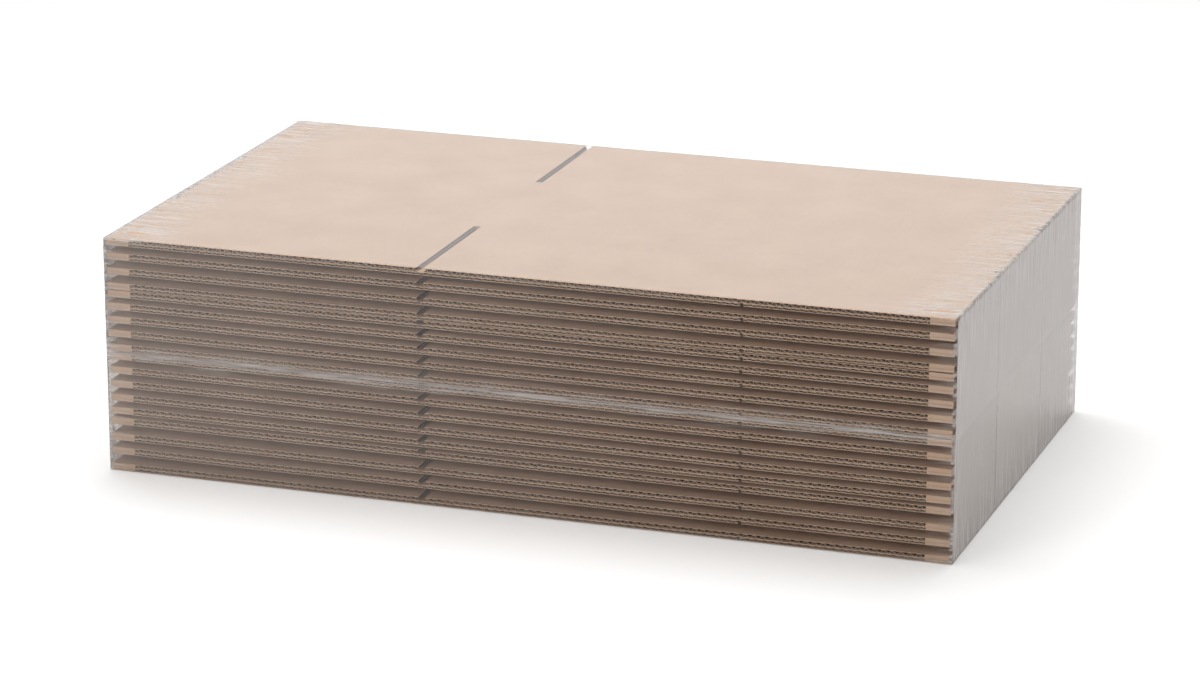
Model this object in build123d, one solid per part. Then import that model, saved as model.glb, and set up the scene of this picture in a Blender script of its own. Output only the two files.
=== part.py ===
# A shrink-wrapped pack of flattened slotted cartons, in millimetres.
# X runs along the lips, Y from the front lips to the back, Z up; the origin is the middle of the base.
from build123d import *
import os

# Flattened carton: two plies of corrugated board that one blank makes, joined at the end folds.
short_panel = 250.0  # left fold to the slot in the upper ply
long_panel = 400.0  # that slot to the right fold
lower_slot_x = 493.0  # left fold to the slot in the lower ply
flap_depth = 120.0  # lip to score line, at the front and at the back
wall_depth = 135.0  # between the two score lines
board = 2.6  # caliper of the board
liner = 0.35  # each facing sheet of the board
flute_pitch = 6.4
flute_foot = 0.45  # gap left between the feet of two flute cells
plain_end = 20.0  # crushed stretch without open flutes, next to each fold
score_width = 2.0
score_deep = 0.3
upper_slot = 5.6
lower_slot = 2.6
fold_set_back = 2.0  # half of the corner slot that each fold leaves on a flap
notch_in = 6.0  # root of the corner slot, into the fold
notch_along = 8.0  # and along it, past the score line
lip_gap = 0.1  # between the two plies at a lip

# The stack.
layer_pitch = 9.98
layer_gap = 0.04
# How far each carton's lips ride above the middle of its walls, top carton first, as a share of
# the room that a lip leaves in its layer. Neighbours differ by less than 1, so no two lips cross.
lip_ride = (0.5, 0.3, 0.0, -0.35, 0.5, 0.65, 0.55, 0.4, 0.2, 0.95, 0.8, 0.55, 0.4, 0.4, 0.75, 0.2, 0.0, -0.5)

# Shrink film, an upper and a lower web welded together all round at half height.
film = 0.06
film_gap = 0.1
film_edge = 1.8  # bevel over the fold ends
seam_high = 1.6
seam_proud = 0.06
seam_z = 92.0

length = short_panel + long_panel
depth = 2 * flap_depth + wall_depth
layers = len(lip_ride)
layer_high = layer_pitch - layer_gap
base_z = film + film_gap
stack_high = layers * layer_pitch - layer_gap
lip_room = layer_high - 2 * board - lip_gap


def block(x0, x1, y0, y1, z0, z1):
    return Pos((x0 + x1) / 2, (y0 + y1) / 2, (z0 + z1) / 2) * Box(x1 - x0, y1 - y0, z1 - z0)


def rectangle(x0, x1, z0, z1, y):
    return Wire.make_polygon([(x0, y, z0), (x1, y, z0), (x1, y, z1), (x0, y, z1)])


def flutes(x0, x1, z0, y):
    # Open cells of the fluting: triangles that stand on the lower liner, evenly spaced.
    count = int((x1 - x0) // flute_pitch)
    step = (x1 - x0) / max(count, 1)
    half = (step - flute_foot) / 2
    low = z0 + liner
    high = z0 + board - liner
    cells = []
    for i in range(count):
        middle = x0 + (i + 0.5) * step
        cells.append(Wire.make_polygon([(middle - half, y, low), (middle + half, y, low), (middle, y, high)]))
    return cells


def flap(x0, x1, side, lip_z, root_z):
    # One flap from its lip down or up to the score line; side is -1 at the front and 1 at the back.
    # Flutes stay closed within plain_end of the folds, at both ends of the carton.
    lip_y = side * depth / 2
    run = flap_depth - score_width / 2
    left = max(x0 + flute_foot, -length / 2 + plain_end)
    right = min(x1 - flute_foot, length / 2 - plain_end)
    face = Face(rectangle(x0, x1, lip_z, lip_z + board, lip_y), flutes(left, right, lip_z, lip_y))
    return Solid.extrude(face, Vector(0, -side * run, root_z - lip_z))


def wall_tube(z0):
    # The walls: a flat tube of board whose ends are the folds, notched at the roots of the corner slots.
    run = wall_depth - score_width
    outer = Pos(0, 0, z0 + layer_high / 2) * Rot(90, 0, 0) * SlotOverall(length, layer_high)
    inner_high = layer_high - 2 * board
    inner = Pos(0, 0, z0 + layer_high / 2) * Rot(90, 0, 0) * SlotOverall(length - 2 * board, inner_high)
    tube = extrude(outer - inner, run / 2, both=True)
    for x in (-1, 1):
        for y in (-1, 1):
            corner = block(-notch_in, notch_in, -notch_along, notch_along, z0 - 1, z0 + layer_high + 1)
            tube -= Pos(x * length / 2, y * run / 2, 0) * corner
    return tube


def carton(z0, lip_middle):
    # z0 is the underside of the walls; lip_middle is the height where the two plies meet at a lip.
    end = length / 2 - fold_set_back
    plies = (
        (z0 + layer_high - board, lip_middle + lip_gap / 2, -length / 2 + short_panel, upper_slot, 1),
        (z0, lip_middle - lip_gap / 2 - board, -length / 2 + lower_slot_x, lower_slot, -1),
    )
    pieces = []
    for root_z, lip_z, slot_x, slot_wide, outward in plies:
        for side in (-1, 1):
            pieces.append(flap(-end, slot_x - slot_wide / 2, side, lip_z, root_z))
            pieces.append(flap(slot_x + slot_wide / 2, end, side, lip_z, root_z))
            low = root_z + (score_deep if outward < 0 else 0)
            high = root_z + board - (score_deep if outward > 0 else 0)
            y = side * wall_depth / 2
            pieces.append(block(-end + notch_in, end - notch_in, y - score_width / 2, y + score_width / 2, low, high))
    return wall_tube(z0).fuse(*pieces)


def film_block(grow):
    # The stack's envelope grown by some amount, bevelled along the fold ends.
    x = length / 2 + grow
    y = depth / 2 + grow
    low = base_z - grow
    high = base_z + stack_high + grow
    bevel = film_edge
    profile = Wire.make_polygon([
        (-x + bevel, -y, low), (x - bevel, -y, low), (x, -y, low + bevel), (x, -y, high - bevel),
        (x - bevel, -y, high), (-x + bevel, -y, high), (-x, -y, high - bevel), (-x, -y, low + bevel),
    ])
    return Solid.extrude(Face(profile), Vector(0, 2 * y, 0))


def shrink_film():
    outside = film_gap + film
    x = length / 2 + outside + seam_proud
    y = depth / 2 + outside + seam_proud
    seam = block(-x, x, -y, y, seam_z - seam_high / 2, seam_z + seam_high / 2)
    return film_block(outside).fuse(seam) - film_block(film_gap)


os.makedirs("parts", exist_ok=True)
for number, ride in enumerate(lip_ride, start=1):
    bottom = base_z + (layers - number) * layer_pitch
    middle = bottom + layer_high / 2 + ride * lip_room
    export_step(carton(bottom, middle), f"parts/carton_{number:02d}.step", write_pcurves=False)
export_step(shrink_film(), "parts/shrink_film.step", write_pcurves=False)
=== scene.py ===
import bpy
import bmesh
import math
import numpy as np
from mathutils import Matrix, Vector


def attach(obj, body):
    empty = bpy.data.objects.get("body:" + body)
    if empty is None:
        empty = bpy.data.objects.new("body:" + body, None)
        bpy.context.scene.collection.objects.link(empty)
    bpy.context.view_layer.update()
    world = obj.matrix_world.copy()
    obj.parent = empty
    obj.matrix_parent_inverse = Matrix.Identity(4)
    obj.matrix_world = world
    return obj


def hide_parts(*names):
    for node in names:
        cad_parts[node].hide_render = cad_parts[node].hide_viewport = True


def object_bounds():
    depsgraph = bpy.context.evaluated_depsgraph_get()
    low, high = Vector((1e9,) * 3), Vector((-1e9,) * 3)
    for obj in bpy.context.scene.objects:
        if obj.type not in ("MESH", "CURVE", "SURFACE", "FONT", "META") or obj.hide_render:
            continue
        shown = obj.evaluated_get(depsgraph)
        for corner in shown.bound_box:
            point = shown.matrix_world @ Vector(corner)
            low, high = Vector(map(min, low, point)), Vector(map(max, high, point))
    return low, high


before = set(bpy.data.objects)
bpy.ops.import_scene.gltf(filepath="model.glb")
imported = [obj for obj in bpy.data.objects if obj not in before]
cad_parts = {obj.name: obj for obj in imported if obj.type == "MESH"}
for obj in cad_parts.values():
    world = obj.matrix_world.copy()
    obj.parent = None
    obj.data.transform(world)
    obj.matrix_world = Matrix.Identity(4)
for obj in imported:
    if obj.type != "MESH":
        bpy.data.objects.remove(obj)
cadLow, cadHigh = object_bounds()
rng = np.random.default_rng(7)
mm = 0.001


def linearColour(hexCode):
    # sRGB hex to linear RGBA
    parts = np.array([int(hexCode[i:i + 2], 16) / 255 for i in (1, 3, 5)])
    parts = np.where(parts <= 0.04045, parts / 12.92, ((parts + 0.055) / 1.055) ** 2.4)
    return (*parts.tolist(), 1.0)


def addNode(tree, kind, links=None, values=None, **settings):
    # adds one node; links is {input: socket}, values is {input: number or colour}
    node = tree.nodes.new(kind)
    for key, value in settings.items():
        setattr(node, key, value)
    for key, value in (values or {}).items():
        node.inputs[key].default_value = value
    for key, socket in (links or {}).items():
        tree.links.new(socket, node.inputs[key])
    return node


def newMaterial(name):
    material = bpy.data.materials.new(name)
    material.use_nodes = True
    material.node_tree.nodes.clear()
    return material, material.node_tree


# ---- camera
view = dict(azimuth=19.02, elevation=16.87, lens=134.58, place=(1.0608, -3.0826, 1.0699))


def makeCamera():
    camera = bpy.data.objects.new("camera", bpy.data.cameras.new("camera"))
    bpy.context.scene.collection.objects.link(camera)
    a, e = math.radians(view["azimuth"]), math.radians(view["elevation"])
    back = Vector((math.sin(a) * math.cos(e), -math.cos(a) * math.cos(e), math.sin(e)))
    camera.location = view["place"]
    camera.rotation_mode = "QUATERNION"
    camera.rotation_quaternion = (-back).to_track_quat("-Z", "Y")
    camera.data.lens = view["lens"]
    camera.data.sensor_width = 36
    camera.data.clip_end = 50
    bpy.context.scene.camera = camera


makeCamera()
print("camera set")

# ---- kraft board
kraft = dict(
    pale="#C7AB93",
    mid="#BE9F86",
    fleck="#8C6F59",
    # the inner colour is painted shade for the flute cells deep behind the lip, not a colour of the board
    inner="#4A3527",
    fibre=0.9 * mm,
    fibreSquash=0.12,
    clouds=22.0,
    fleckMost=0.3,
    fleckBump=0.12,
    bumpDeep=0.15 * mm,
    # how fast the painted shade in the flute cells comes in with depth behind the lip
    paintedShadeRate=9.0,
    flute=6.4 * mm,
)


def kraftBoard():
    # Kraft linerboard on corrugating medium: matt, with short fibres along the flutes, faint clouding
    # where the pulp is denser, and the shallow washboard of the flutes under the liner.
    material, tree = newMaterial("kraftLinerboard")
    place = addNode(tree, "ShaderNodeTexCoord").outputs["Object"]
    alongFlutes = addNode(tree, "ShaderNodeMapping", {"Vector": place},
                          {"Scale": (1.0, kraft["fibreSquash"], 1.0)})
    fibres = addNode(tree, "ShaderNodeTexNoise", {"Vector": alongFlutes.outputs[0]},
                     {"Scale": 1 / kraft["fibre"], "Detail": 3.0, "Roughness": 0.6})
    clouds = addNode(tree, "ShaderNodeTexNoise", {"Vector": place}, {"Scale": kraft["clouds"], "Detail": 4.0})
    tone = addNode(tree, "ShaderNodeValToRGB", {"Fac": clouds.outputs["Fac"]})
    tone.color_ramp.elements[0].position = 0.3
    tone.color_ramp.elements[1].position = 0.72
    tone.color_ramp.elements[0].color = linearColour(kraft["mid"])
    tone.color_ramp.elements[1].color = linearColour(kraft["pale"])
    fleckShare = addNode(tree, "ShaderNodeMapRange", {"Value": fibres.outputs["Fac"]},
                         {"From Min": 0.52, "From Max": 0.75, "To Min": 0.0, "To Max": kraft["fleckMost"]})
    colour = addNode(tree, "ShaderNodeMix", {"Factor": fleckShare.outputs[0], 6: tone.outputs["Color"]},
                     data_type="RGBA")
    colour.inputs[7].default_value = linearColour(kraft["fleck"])
    ridge = addNode(tree, "ShaderNodeSeparateXYZ", {"Vector": place})
    turn = addNode(tree, "ShaderNodeMath", {0: ridge.outputs["X"]}, {1: 2 * math.pi / kraft["flute"]},
                   operation="MULTIPLY")
    wave = addNode(tree, "ShaderNodeMath", {0: turn.outputs[0]}, operation="SINE")
    height = addNode(tree, "ShaderNodeMath", {0: wave.outputs[0], 2: fibres.outputs["Fac"]},
                     {1: kraft["fleckBump"]}, operation="MULTIPLY_ADD")
    bump = addNode(tree, "ShaderNodeBump", {"Height": height.outputs[0]},
                   {"Strength": 0.25, "Distance": kraft["bumpDeep"]})
    # painted shade: the medium is coloured towards the dark inner colour within a ninth of its depth behind
    # the lip, standing in for the shade in the flute cells
    depth = addNode(tree, "ShaderNodeAttribute", attribute_name="inner").outputs["Fac"]
    paintedShade = addNode(tree, "ShaderNodeMath", {0: depth}, {1: kraft["paintedShadeRate"]},
                     operation="MULTIPLY", use_clamp=True)
    inner = paintedShade.outputs[0]
    withPaintedShade = addNode(tree, "ShaderNodeMix", {"Factor": inner, 6: colour.outputs[2]}, data_type="RGBA")
    withPaintedShade.inputs[7].default_value = linearColour(kraft["inner"])
    shader = addNode(tree, "ShaderNodeBsdfPrincipled",
                     {"Base Color": withPaintedShade.outputs[2], "Normal": bump.outputs[0]},
                     {"Roughness": 0.78, "IOR": 1.45, "Specular IOR Level": 0.3})
    addNode(tree, "ShaderNodeOutputMaterial", {"Surface": shader.outputs[0]})
    return material


# ---- cartons: the same driving sizes as the solids, in metres
board = dict(
    length=650 * mm,
    wall=135 * mm,
    flap=120 * mm,
    caliper=2.6 * mm,
    liner=0.32 * mm,
    medium=0.26 * mm,
    pitch=6.4 * mm,
    fluteDeep=26 * mm,
    upperLip=3.0 * mm,
    lowerLip=2.2 * mm,
    lipGap=0.1 * mm,
    plainEnd=20 * mm,
    endBack=2 * mm,
    notchIn=6 * mm,
    notchAlong=8 * mm,
    upperSlotX=-75 * mm,
    upperSlot=5.6 * mm,
    lowerSlotX=168 * mm,
    lowerSlot=2.6 * mm,
)
# from the top carton down: lipRide is how far each lip rides above the middle of its walls
stack = dict(
    base=0.16 * mm,
    pitch=9.98 * mm,
    gap=0.04 * mm,
    lipRide=(0.5, 0.3, 0.0, -0.35, 0.5, 0.65, 0.55, 0.4, 0.2,
             0.95, 0.8, 0.55, 0.4, 0.4, 0.75, 0.2, 0.0, -0.5),
    crushed={5: 0.55, 10: 0.8, 14: 0.7},
)
flute = dict(
    flat=1.9,
    samples=7,
    wander=0.5,
    crush=0.10,
    lean=0.75 * mm,
    leanWander=0.5 * mm,
    lipBack=0.05 * mm,
)


def slab(x, y, top, low):
    # Closed slab between two height fields on one grid of x and y: both faces and a wall round the rim.
    n, m = x.shape
    points = np.concatenate([np.stack([x, y, z], -1).reshape(-1, 3) for z in (top, low)])
    index = np.arange(n * m).reshape(n, m)
    quad = np.stack([index[:-1, :-1], index[1:, :-1], index[1:, 1:], index[:-1, 1:]], -1).reshape(-1, 4)
    rim = np.concatenate([index[:, 0], index[-1, 1:], index[-2::-1, -1], index[0, -2:0:-1]])
    after = np.roll(rim, -1)
    walls = np.stack([rim + n * m, after + n * m, after, rim], -1)
    return points, np.concatenate([quad, quad[:, ::-1] + n * m, walls])


def ribbon(x, z, nx, nz, thick, y0, y1):
    # A curved ribbon of even thickness: the line (x, z) moved half a thickness along its normal to
    # each side, and carried straight along y. The lip edge is closed and the far edge too.
    top = np.stack([x + nx * thick / 2, z + nz * thick / 2], -1)
    low = np.stack([x - nx * thick / 2, z - nz * thick / 2], -1)
    n = len(x)
    rows = [np.stack([side[:, 0], np.full(n, y), side[:, 1]], -1) for side in (top, low) for y in (y0, y1)]
    points = np.concatenate(rows)
    i = np.arange(n - 1)
    faces = [np.stack([i, i + 1, i + 1 + n, i + n], -1),
             np.stack([i + 2 * n, i + 3 * n, i + 1 + 3 * n, i + 1 + 2 * n], -1),
             np.stack([i, i + 2 * n, i + 1 + 2 * n, i + 1], -1),
             np.stack([i + n, i + 1 + n, i + 1 + 3 * n, i + 3 * n], -1)]
    return points, np.concatenate(faces)


def smoothNoise(size, step, strength):
    # Random knots every step, joined by a cosine, as long as size.
    knots = rng.normal(0, strength, size // step + 3)
    at = np.arange(size) / step
    low = at.astype(int)
    share = (1 - np.cos((at - low) * math.pi)) / 2
    return knots[low] * (1 - share) + knots[low + 1] * share


def makeMesh(name, parts, material):
    # parts are (points, faces) or (points, faces, flag), joined in one mesh of four-cornered faces
    points, faces, flags, start = [], [], [], 0
    for partPoints, partFaces, *flag in parts:
        points.append(partPoints)
        flags.append(np.zeros(len(partPoints)) + (flag[0] if flag else 0.0))
        faces.append(partFaces + start)
        start += len(partPoints)
    points, faces = np.concatenate(points), np.concatenate(faces)
    mesh = bpy.data.meshes.new(name)
    mesh.vertices.add(len(points))
    mesh.vertices.foreach_set("co", points.astype(np.float32).ravel())
    mesh.loops.add(faces.size)
    mesh.loops.foreach_set("vertex_index", faces.ravel().astype(np.int32))
    mesh.polygons.add(len(faces))
    mesh.polygons.foreach_set("loop_start", np.arange(0, faces.size, 4, dtype=np.int32))
    mesh.update(calc_edges=True)
    mesh.validate()
    # the flag is stored as inner, which the kraft shader turns into painted shade in the flute cells
    inner = mesh.attributes.new("inner", "FLOAT", "POINT")
    inner.data.foreach_set("value", np.concatenate(flags).astype(np.float32))
    mesh.materials.append(material)
    piece = bpy.data.objects.new(name, mesh)
    bpy.context.scene.collection.objects.link(piece)
    return piece


def turnOutward(mesh, weld=None):
    work = bmesh.new()
    work.from_mesh(mesh)
    if weld is not None:
        bmesh.ops.remove_doubles(work, verts=work.verts, dist=weld)
    bmesh.ops.recalc_face_normals(work, faces=work.faces)
    work.to_mesh(mesh)
    work.free()


def flapParts(x0, x1, side, lipY, lipZ, rootZ, lipThick, rippleX, ripple, squash):
    # One flap of one ply: two liners that part from lipThick at the lip to the caliper at the score
    # line, and the corrugated medium between them near the lip.
    half = board["length"] / 2
    scoreY = side * board["wall"] / 2
    parts = []
    steps = np.array([0, 0.006, 0.03, 0.2, 1.0])
    openLeft, openRight = max(x0, -half + board["plainEnd"]), min(x1, half - board["plainEnd"])
    count = max(8, int((openRight - openLeft) / board["pitch"] / 2))
    xs = np.linspace(x0, x1, count)
    lift = np.interp(xs, rippleX, ripple)
    x, share = np.meshgrid(xs, steps, indexing="ij")
    y = lipY + (scoreY - lipY) * share
    low = lipZ + (rootZ - lipZ) * share + lift[:, None] * (1 - share)
    thick = lipThick + (board["caliper"] - lipThick) * share
    parts.append(slab(x, y, low + thick, low + thick - board["liner"]))
    parts.append(slab(x, y, low + board["liner"], low))
    # medium: height is tanh of a sine along the lip, one turn to a pitch, times the room between the
    # liners; x leans with the height, and slow noise wanders the phase, the lean and the crushing
    turns = (openRight - openLeft) / board["pitch"]
    n = int(turns * flute["samples"])
    t = np.linspace(0, 1, n)
    phase = 2 * math.pi * turns * t + smoothNoise(n, 31, flute["wander"])
    swing = np.tanh(flute["flat"] * np.sin(phase)) / math.tanh(flute["flat"])
    crush = np.clip(1 - np.abs(smoothNoise(n, 30, flute["crush"])), 0.6, 1)
    room = lipThick / 2 - board["liner"] - board["medium"] * 0.4
    middle = np.interp(openLeft + (openRight - openLeft) * t, rippleX, ripple) + lipZ + lipThick / 2
    lean = (flute["lean"] + smoothNoise(n, 60, flute["leanWander"])) * squash
    mx = openLeft + (openRight - openLeft) * t - lean * swing
    mz = middle + room * crush * swing
    dx, dz = np.gradient(mx), np.gradient(mz)
    size = np.hypot(dx, dz) + 1e-9
    # flag 0 at the lip and 1 deep inside, where the board gets painted shade
    deep = np.tile(np.repeat([0.0, 1.0], n), 2)
    parts.append((*ribbon(mx, mz, -dz / size, dx / size, board["medium"], lipY - side * flute["lipBack"],
                          lipY - side * board["fluteDeep"]), deep))
    # plain ends by the folds, filled between the liners
    for endX, openX in ((x0, openLeft), (x1, openRight)):
        if abs(endX - openX) > 1 * mm:
            across = np.linspace(0, 1, 9)
            xe, share = np.meshgrid(openX + (endX - openX) * across, steps, indexing="ij")
            ye = lipY + (scoreY - lipY) * share
            lowe = lipZ + (rootZ - lipZ) * share + np.interp(openX, rippleX, ripple) * (1 - share)
            thicke = lipThick + (board["caliper"] - lipThick) * share
            skin = board["liner"] * 0.9
            parts.append(slab(xe, ye, lowe + thicke - skin, lowe + skin))
    return parts


def foldLoop(length, high, middle, n=10):
    # Flat closed loop: two straight runs joined by half circles of the loop's height.
    turn = np.linspace(-math.pi / 2, math.pi / 2, n)
    r = high / 2
    right = np.stack([length / 2 - r + r * np.cos(turn), middle + r * np.sin(turn)], -1)
    left = np.stack([-length / 2 + r - r * np.cos(turn), middle - r * np.sin(turn)], -1)
    return np.concatenate([right, left])


def wallParts(low, high):
    # The walls' tube of board: outer and inner fold loops carried along y, closed by rings at the ends.
    outer = foldLoop(board["length"], high, low + high / 2)
    inner = foldLoop(board["length"] - 2 * board["caliper"], high - 2 * board["caliper"], low + high / 2)
    n = len(outer)
    parts = []
    run = board["wall"] / 2 - board["notchAlong"]
    rows = [np.stack([loop[:, 0], np.full(n, y), loop[:, 1]], -1)
            for loop in (outer, inner) for y in (-run, run)]
    i = np.arange(n)
    j = (i + 1) % n
    faces = [np.stack([i, j, j + n, i + n], -1), np.stack([i + 2 * n, i + 3 * n, j + 3 * n, j + 2 * n], -1),
             np.stack([i, i + 2 * n, j + 2 * n, j], -1), np.stack([i + n, j + n, j + 3 * n, i + 3 * n], -1)]
    parts.append((np.concatenate(rows), np.concatenate(faces)))
    edge = board["length"] / 2 - board["notchIn"]
    for side in (-1, 1):
        for plyLow in (low, low + high - board["caliper"]):
            ends = np.array([side * run, side * board["wall"] / 2])
            x, y = np.meshgrid(np.array([-edge, edge]), ends, indexing="ij")
            flat = np.full_like(x, plyLow)
            parts.append(slab(x, y, flat + board["caliper"], flat))
    return parts


def makeCarton(number, ride, material):
    layers = len(stack["lipRide"])
    high = stack["pitch"] - stack["gap"]
    low = stack["base"] + (layers - number) * stack["pitch"]
    room = high - 2 * board["caliper"] - board["lipGap"]
    middle = low + high / 2 + ride * room
    flatLip = number in (1, layers)
    rippleX = np.linspace(-board["length"] / 2, board["length"] / 2, 40)
    half = board["length"] / 2 - board["endBack"]
    parts = wallParts(low, high)
    squash = stack["crushed"].get(number, 1.0)
    bottomLip = middle - board["caliper"] - board["lipGap"] / 2
    lowerTop = bottomLip + board["lowerLip"]
    # each ply: underside at the lip, underside at the score line, height at the lip, slot place and width
    plies = ((lowerTop + board["lipGap"], low + high - board["caliper"], board["upperLip"],
              board["upperSlotX"], board["upperSlot"]),
             (bottomLip, low, board["lowerLip"], board["lowerSlotX"], board["lowerSlot"]))
    for side in (-1, 1):
        lipY = side * (board["wall"] / 2 + board["flap"] - rng.uniform(0.0, 0.9) * mm)
        ripple = smoothNoise(40, 6, 0.0 if flatLip else 0.12 * mm)
        for lipZ, rootZ, lipThick, slotX, slotWide in plies:
            for x0, x1 in ((-half, slotX - slotWide / 2), (slotX + slotWide / 2, half)):
                parts += flapParts(x0, x1, side, lipY, lipZ, rootZ, lipThick, rippleX, ripple, squash)
    piece = makeMesh(f"flatCarton{number:02d}", parts, material)
    turnOutward(piece.data)
    piece.data.shade_flat()
    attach(piece, "root")
    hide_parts(f"carton_{number:02d}")


kraftMaterial = kraftBoard()
for number, ride in enumerate(stack["lipRide"], start=1):
    makeCarton(number, ride, kraftMaterial)
print("cartons built")

# ---- shrink film
film = dict(
    cell=3.0 * mm,
    seamHigh=92 * mm,
    insideBox=0.06 * mm,
    depthOfWrinkle=0.5 * mm,
    wrinkle=7 * mm,
    wrinkleDrift=31 * mm,
    edgeFade=2.5 * mm,
    weld=0.02 * mm,
    grooveY=67.5 * mm,
    streaks=(22.0, 420.0, 1.0),
    streakStrength=0.75,
    glossLeast=0.02,
    glossMost=1.35,
    clear="#E9E3DF",
    milky="#B3AAA7",
)


def filmPattern():
    # Polyolefin shrink film: clear and glossy where it is stretched flat, milky where it gathers.
    material, tree = newMaterial("polyolefinShrinkFilm")
    grain = addNode(tree, "ShaderNodeUVMap", uv_map="grain").outputs[0]
    veil = addNode(tree, "ShaderNodeAttribute", attribute_name="veil").outputs["Fac"]
    gather = addNode(tree, "ShaderNodeAttribute", attribute_name="gather").outputs["Fac"]
    stretched = addNode(tree, "ShaderNodeMapping", {"Vector": grain}, {"Scale": film["streaks"]})
    fine = addNode(tree, "ShaderNodeTexNoise", {"Vector": stretched.outputs[0]},
                   {"Scale": 1.0, "Detail": 3.0, "Roughness": 0.6, "Distortion": 0.4})
    streak = addNode(tree, "ShaderNodeMapRange", {"Value": fine.outputs["Fac"]},
                     {"From Min": 0.46, "From Max": 0.66, "To Min": 0.0, "To Max": 1.0})
    lines = addNode(tree, "ShaderNodeMath", {0: streak.outputs[0], 1: gather}, operation="MULTIPLY")
    alpha = addNode(tree, "ShaderNodeMath", {0: lines.outputs[0], 2: veil}, {1: film["streakStrength"]},
                    operation="MULTIPLY_ADD", use_clamp=True)
    bumpHeight = addNode(tree, "ShaderNodeMath", {0: fine.outputs["Fac"], 1: gather}, operation="MULTIPLY")
    bump = addNode(tree, "ShaderNodeBump", {"Height": bumpHeight.outputs[0]},
                   {"Strength": 0.8, "Distance": 0.7 * mm})
    colour = addNode(tree, "ShaderNodeMix", {"Factor": veil}, data_type="RGBA")
    colour.inputs[6].default_value = linearColour(film["clear"])
    colour.inputs[7].default_value = linearColour(film["milky"])
    milk = addNode(tree, "ShaderNodeBsdfPrincipled",
                   {"Base Color": colour.outputs[2], "Normal": bump.outputs[0]},
                   {"Roughness": 0.3, "IOR": 1.5, "Specular IOR Level": 0.6})
    # gloss like Schlick's rule, glossLeast + glossMost * (1 - cos) ^ 5, the same from both sides, so
    # that light also gets out of the pack
    facing = addNode(tree, "ShaderNodeLayerWeight", {"Normal": bump.outputs[0]}, {"Blend": 0.5})
    fifth = addNode(tree, "ShaderNodeMath", {0: facing.outputs["Facing"]}, {1: 5.0}, operation="POWER")
    glossShare = addNode(tree, "ShaderNodeMath", {0: fifth.outputs[0]},
                         {1: film["glossMost"], 2: film["glossLeast"]},
                         operation="MULTIPLY_ADD", use_clamp=True)
    clear = addNode(tree, "ShaderNodeBsdfTransparent")
    gloss = addNode(tree, "ShaderNodeBsdfGlossy", {"Normal": bump.outputs[0]}, {"Roughness": 0.12})
    web = addNode(tree, "ShaderNodeMixShader",
                  {0: glossShare.outputs[0], 1: clear.outputs[0], 2: gloss.outputs[0]})
    whole = addNode(tree, "ShaderNodeMixShader", {0: alpha.outputs[0], 1: web.outputs[0], 2: milk.outputs[0]})
    addNode(tree, "ShaderNodeOutputMaterial", {"Surface": whole.outputs[0]})
    return material


def faceGrid(origin, across, up, na, nu):
    # Flat patch origin + a * across + u * up, with a and u from 0 to 1.
    a, u = np.meshgrid(np.linspace(0, 1, na), np.linspace(0, 1, nu), indexing="ij")
    points = origin + a[..., None] * across + u[..., None] * up
    index = np.arange(na * nu).reshape(na, nu)
    quad = np.stack([index[:-1, :-1], index[1:, :-1], index[1:, 1:], index[:-1, 1:]], -1).reshape(-1, 4)
    return points.reshape(-1, 3), quad


def fade(distance, reach):
    # 1 at no distance, falling evenly to 0 at reach
    return np.clip(1 - distance / reach, 0, 1)


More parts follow.
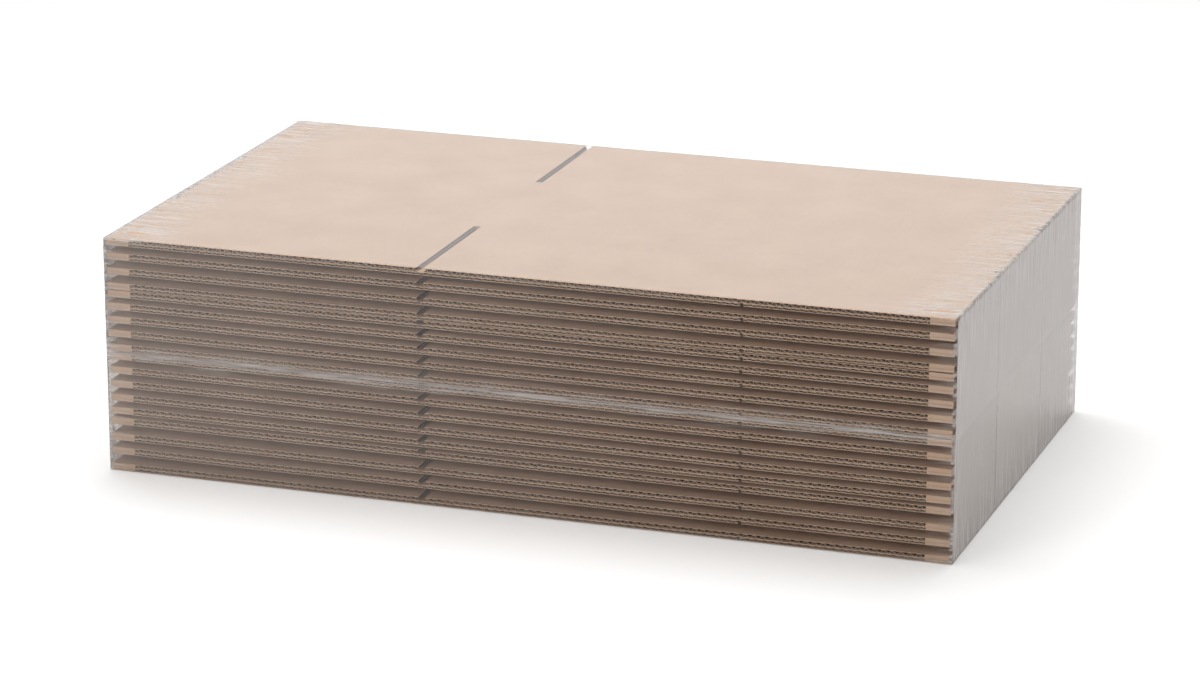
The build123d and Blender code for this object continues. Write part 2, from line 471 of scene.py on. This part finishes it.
def makeFilm(name, z0, z1, cap, material):
    # One web: a cap (top or underside) and the four sides down or up to the weld, as one open sheet.
    lx = cadHigh.x - film["insideBox"]
    ly = cadHigh.y - film["insideBox"]
    cell = film["cell"]
    nx, ny = int(2 * lx / cell) + 1, int(2 * ly / cell) + 1
    nz = int(abs(z1 - z0) / cell) + 1
    capZ = z1 if cap > 0 else z0
    vx, vy, vz = np.array([2 * lx, 0, 0]), np.array([0, 2 * ly, 0]), np.array([0, 0, z1 - z0])
    patches = [faceGrid(np.array([-lx, -ly, capZ]), vx, vy, nx, ny),
               faceGrid(np.array([-lx, -ly, z0]), vx, vz, nx, nz),
               faceGrid(np.array([-lx, ly, z0]), vx, vz, nx, nz),
               faceGrid(np.array([-lx, -ly, z0]), vy, vz, ny, nz),
               faceGrid(np.array([lx, -ly, z0]), vy, vz, ny, nz)]
    piece = makeMesh(name, patches, material)
    mesh = piece.data
    # kind is 0 on the cap, 1 on the front and back and 2 on the ends. grain is u along the wrinkles and
    # v across them. gather, from 0 to 1, is how wrinkled the film is, and veil how milky.
    n = len(mesh.vertices)
    co = np.zeros(n * 3, np.float32)
    mesh.vertices.foreach_get("co", co)
    co = co.reshape(-1, 3).astype(float)
    sizes = [len(p) for p, _ in patches]
    kind = np.repeat([0, 1, 1, 2, 2], sizes)
    endX, endY = lx - np.abs(co[:, 0]), ly - np.abs(co[:, 1])
    upDown = np.abs(co[:, 2] - capZ)
    seamNear = np.abs(co[:, 2] - film["seamHigh"])
    groove = np.abs(np.abs(co[:, 1]) - film["grooveY"])
    grainU = np.where(kind == 2, co[:, 2], co[:, 0])
    grainV = np.where(kind == 0, co[:, 1], np.where(kind == 1, co[:, 2], co[:, 1]))
    corner = np.hypot(endX, np.where(kind == 0, endY, upDown))
    gather = np.select([kind == 0, kind == 1], [
        0.9 * fade(endX, 55 * mm) + 0.6 * fade(corner, 80 * mm),
        0.5 * fade(seamNear, 10 * mm) + 0.35 * fade(endX, 22 * mm)],
        0.45 * fade(upDown, 40 * mm) + 0.4 * fade(endY, 30 * mm) + 0.1)
    veil = np.select([kind == 0, kind == 1], [
        0.05 + 0.12 * fade(endX, 12 * mm),
        0.02 + 0.15 * fade(co[:, 0] + lx, 0.5) + 0.3 * fade(seamNear, 1 * mm)],
        0.62 + 0.18 * (co[:, 2] > film["seamHigh"]) - 0.35 * fade(groove, 3 * mm))
    # wrinkles push outward by a sine of v whose phase drifts, times gather, with a little noise, and
    # fade to nothing at the edges of each face
    out = np.zeros_like(co)
    noise = rng.normal(0, 1, n)
    swell = np.sin(grainV * 2 * math.pi / film["wrinkle"]
                   + 3 * np.sin(grainV * 2 * math.pi / film["wrinkleDrift"]))
    push = film["depthOfWrinkle"] * np.clip(gather, 0, 1) * 0.5 * (swell + 0.3 * noise)
    inside = np.minimum(np.minimum(np.where(kind == 2, 1, endX), np.where(kind == 1, 1, endY)),
                        np.where(kind == 0, 1, np.minimum(upDown, seamNear)))
    push *= np.clip(inside / film["edgeFade"], 0, 1)
    out[kind == 0, 2] = (push * cap)[kind == 0]
    out[kind == 1, 1] = (push * np.sign(co[:, 1]))[kind == 1]
    out[kind == 2, 0] = (push * np.sign(co[:, 0]))[kind == 2]
    co += out
    mesh.vertices.foreach_set("co", co.astype(np.float32).ravel())
    for label, values in (("veil", veil), ("gather", np.clip(gather, 0, 1))):
        mesh.attributes.new(label, "FLOAT", "POINT").data.foreach_set("value", values.astype(np.float32))
    loopVertex = np.zeros(len(mesh.loops), np.int32)
    mesh.loops.foreach_get("vertex_index", loopVertex)
    uv = mesh.uv_layers.new(name="grain")
    uv.data.foreach_set("uv", np.stack([grainU, grainV], -1)[loopVertex].astype(np.float32).ravel())
    turnOutward(mesh, weld=film["weld"])
    mesh.polygons.foreach_set("use_smooth", np.ones(len(mesh.polygons), bool))
    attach(piece, "root")
    return piece


filmMaterial = filmPattern()
upperWeb = makeFilm("filmUpperWeb", film["seamHigh"], cadHigh.z, 1, filmMaterial)
lowerWeb = makeFilm("filmLowerWeb", cadLow.z, film["seamHigh"], -1, filmMaterial)
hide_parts("shrink_film")
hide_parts("shrink_film")
print("film built")

# ---- floor and light
studio = dict(floor="#F4F3F2", floorHalf=30, floorDrop=0.0005, lift=0.17, world=0.4, aim=(0, 0, 0.09))
# name: place, size and power
lamps = dict(
    softboxAbove=((-0.2, 0.5, 2.2), (2.2, 1.8), 46.0),
    softboxFront=((-1.3, -2.4, 1.3), (1.4, 1.2), 18.0),
    softboxRight=((2.6, -0.4, 1.0), (1.2, 1.2), 3.0),
)


def makeFloor():
    # Pale sweep: camera rays see it white, and it keeps the shadow of the pack.
    material, tree = newMaterial("paleStudioSweep")
    diffuse = addNode(tree, "ShaderNodeBsdfDiffuse", values={"Color": linearColour(studio["floor"])})
    path = addNode(tree, "ShaderNodeLightPath")
    lift = addNode(tree, "ShaderNodeMath", {0: path.outputs["Is Camera Ray"]}, {1: studio["lift"]},
                   operation="MULTIPLY")
    glow = addNode(tree, "ShaderNodeEmission", {"Strength": lift.outputs[0]}, {"Color": (1, 1, 1, 1)})
    sweep = addNode(tree, "ShaderNodeAddShader", {0: diffuse.outputs[0], 1: glow.outputs[0]})
    addNode(tree, "ShaderNodeOutputMaterial", {"Surface": sweep.outputs[0]})
    mesh = bpy.data.meshes.new("floor")
    far = studio["floorHalf"]
    mesh.from_pydata([(-far, -far, 0), (far, -far, 0), (far, far, 0), (-far, far, 0)], [], [(0, 1, 2, 3)])
    mesh.materials.append(material)
    floor = bpy.data.objects.new("floor", mesh)
    floor.location.z = cadLow.z - studio["floorDrop"]
    bpy.context.scene.collection.objects.link(floor)


def makeWorld():
    world = bpy.data.worlds.new("paleRoom")
    world.use_nodes = True
    tree = world.node_tree
    tree.nodes.clear()
    path = addNode(tree, "ShaderNodeLightPath")
    seen = addNode(tree, "ShaderNodeMath",
                   {0: path.outputs["Is Camera Ray"], 1: path.outputs["Is Transmission Ray"]},
                   operation="MAXIMUM")
    shown = addNode(tree, "ShaderNodeMath", {0: seen.outputs[0], 1: path.outputs["Is Glossy Ray"]},
                    operation="MAXIMUM")
    level = addNode(tree, "ShaderNodeMapRange", {"Value": shown.outputs[0]},
                    {"To Min": studio["world"], "To Max": 1.0})
    light = addNode(tree, "ShaderNodeBackground", {"Strength": level.outputs[0]}, {"Color": (1, 1, 1, 1)})
    addNode(tree, "ShaderNodeOutputWorld", {"Surface": light.outputs[0]})
    bpy.context.scene.world = world


def addLamp(name, place, size, power):
    lamp = bpy.data.objects.new(name, bpy.data.lights.new(name, "AREA"))
    lamp.data.shape = "RECTANGLE"
    lamp.data.size, lamp.data.size_y = size
    lamp.data.energy = power
    lamp.location = place
    lamp.rotation_mode = "QUATERNION"
    lamp.rotation_quaternion = (Vector(studio["aim"]) - Vector(place)).to_track_quat("-Z", "Y")
    bpy.context.scene.collection.objects.link(lamp)


makeFloor()
makeWorld()
for name, (place, size, power) in lamps.items():
    addLamp(name, place, size, power)
bpy.context.scene.view_settings.view_transform = "Standard"
print("studio set")
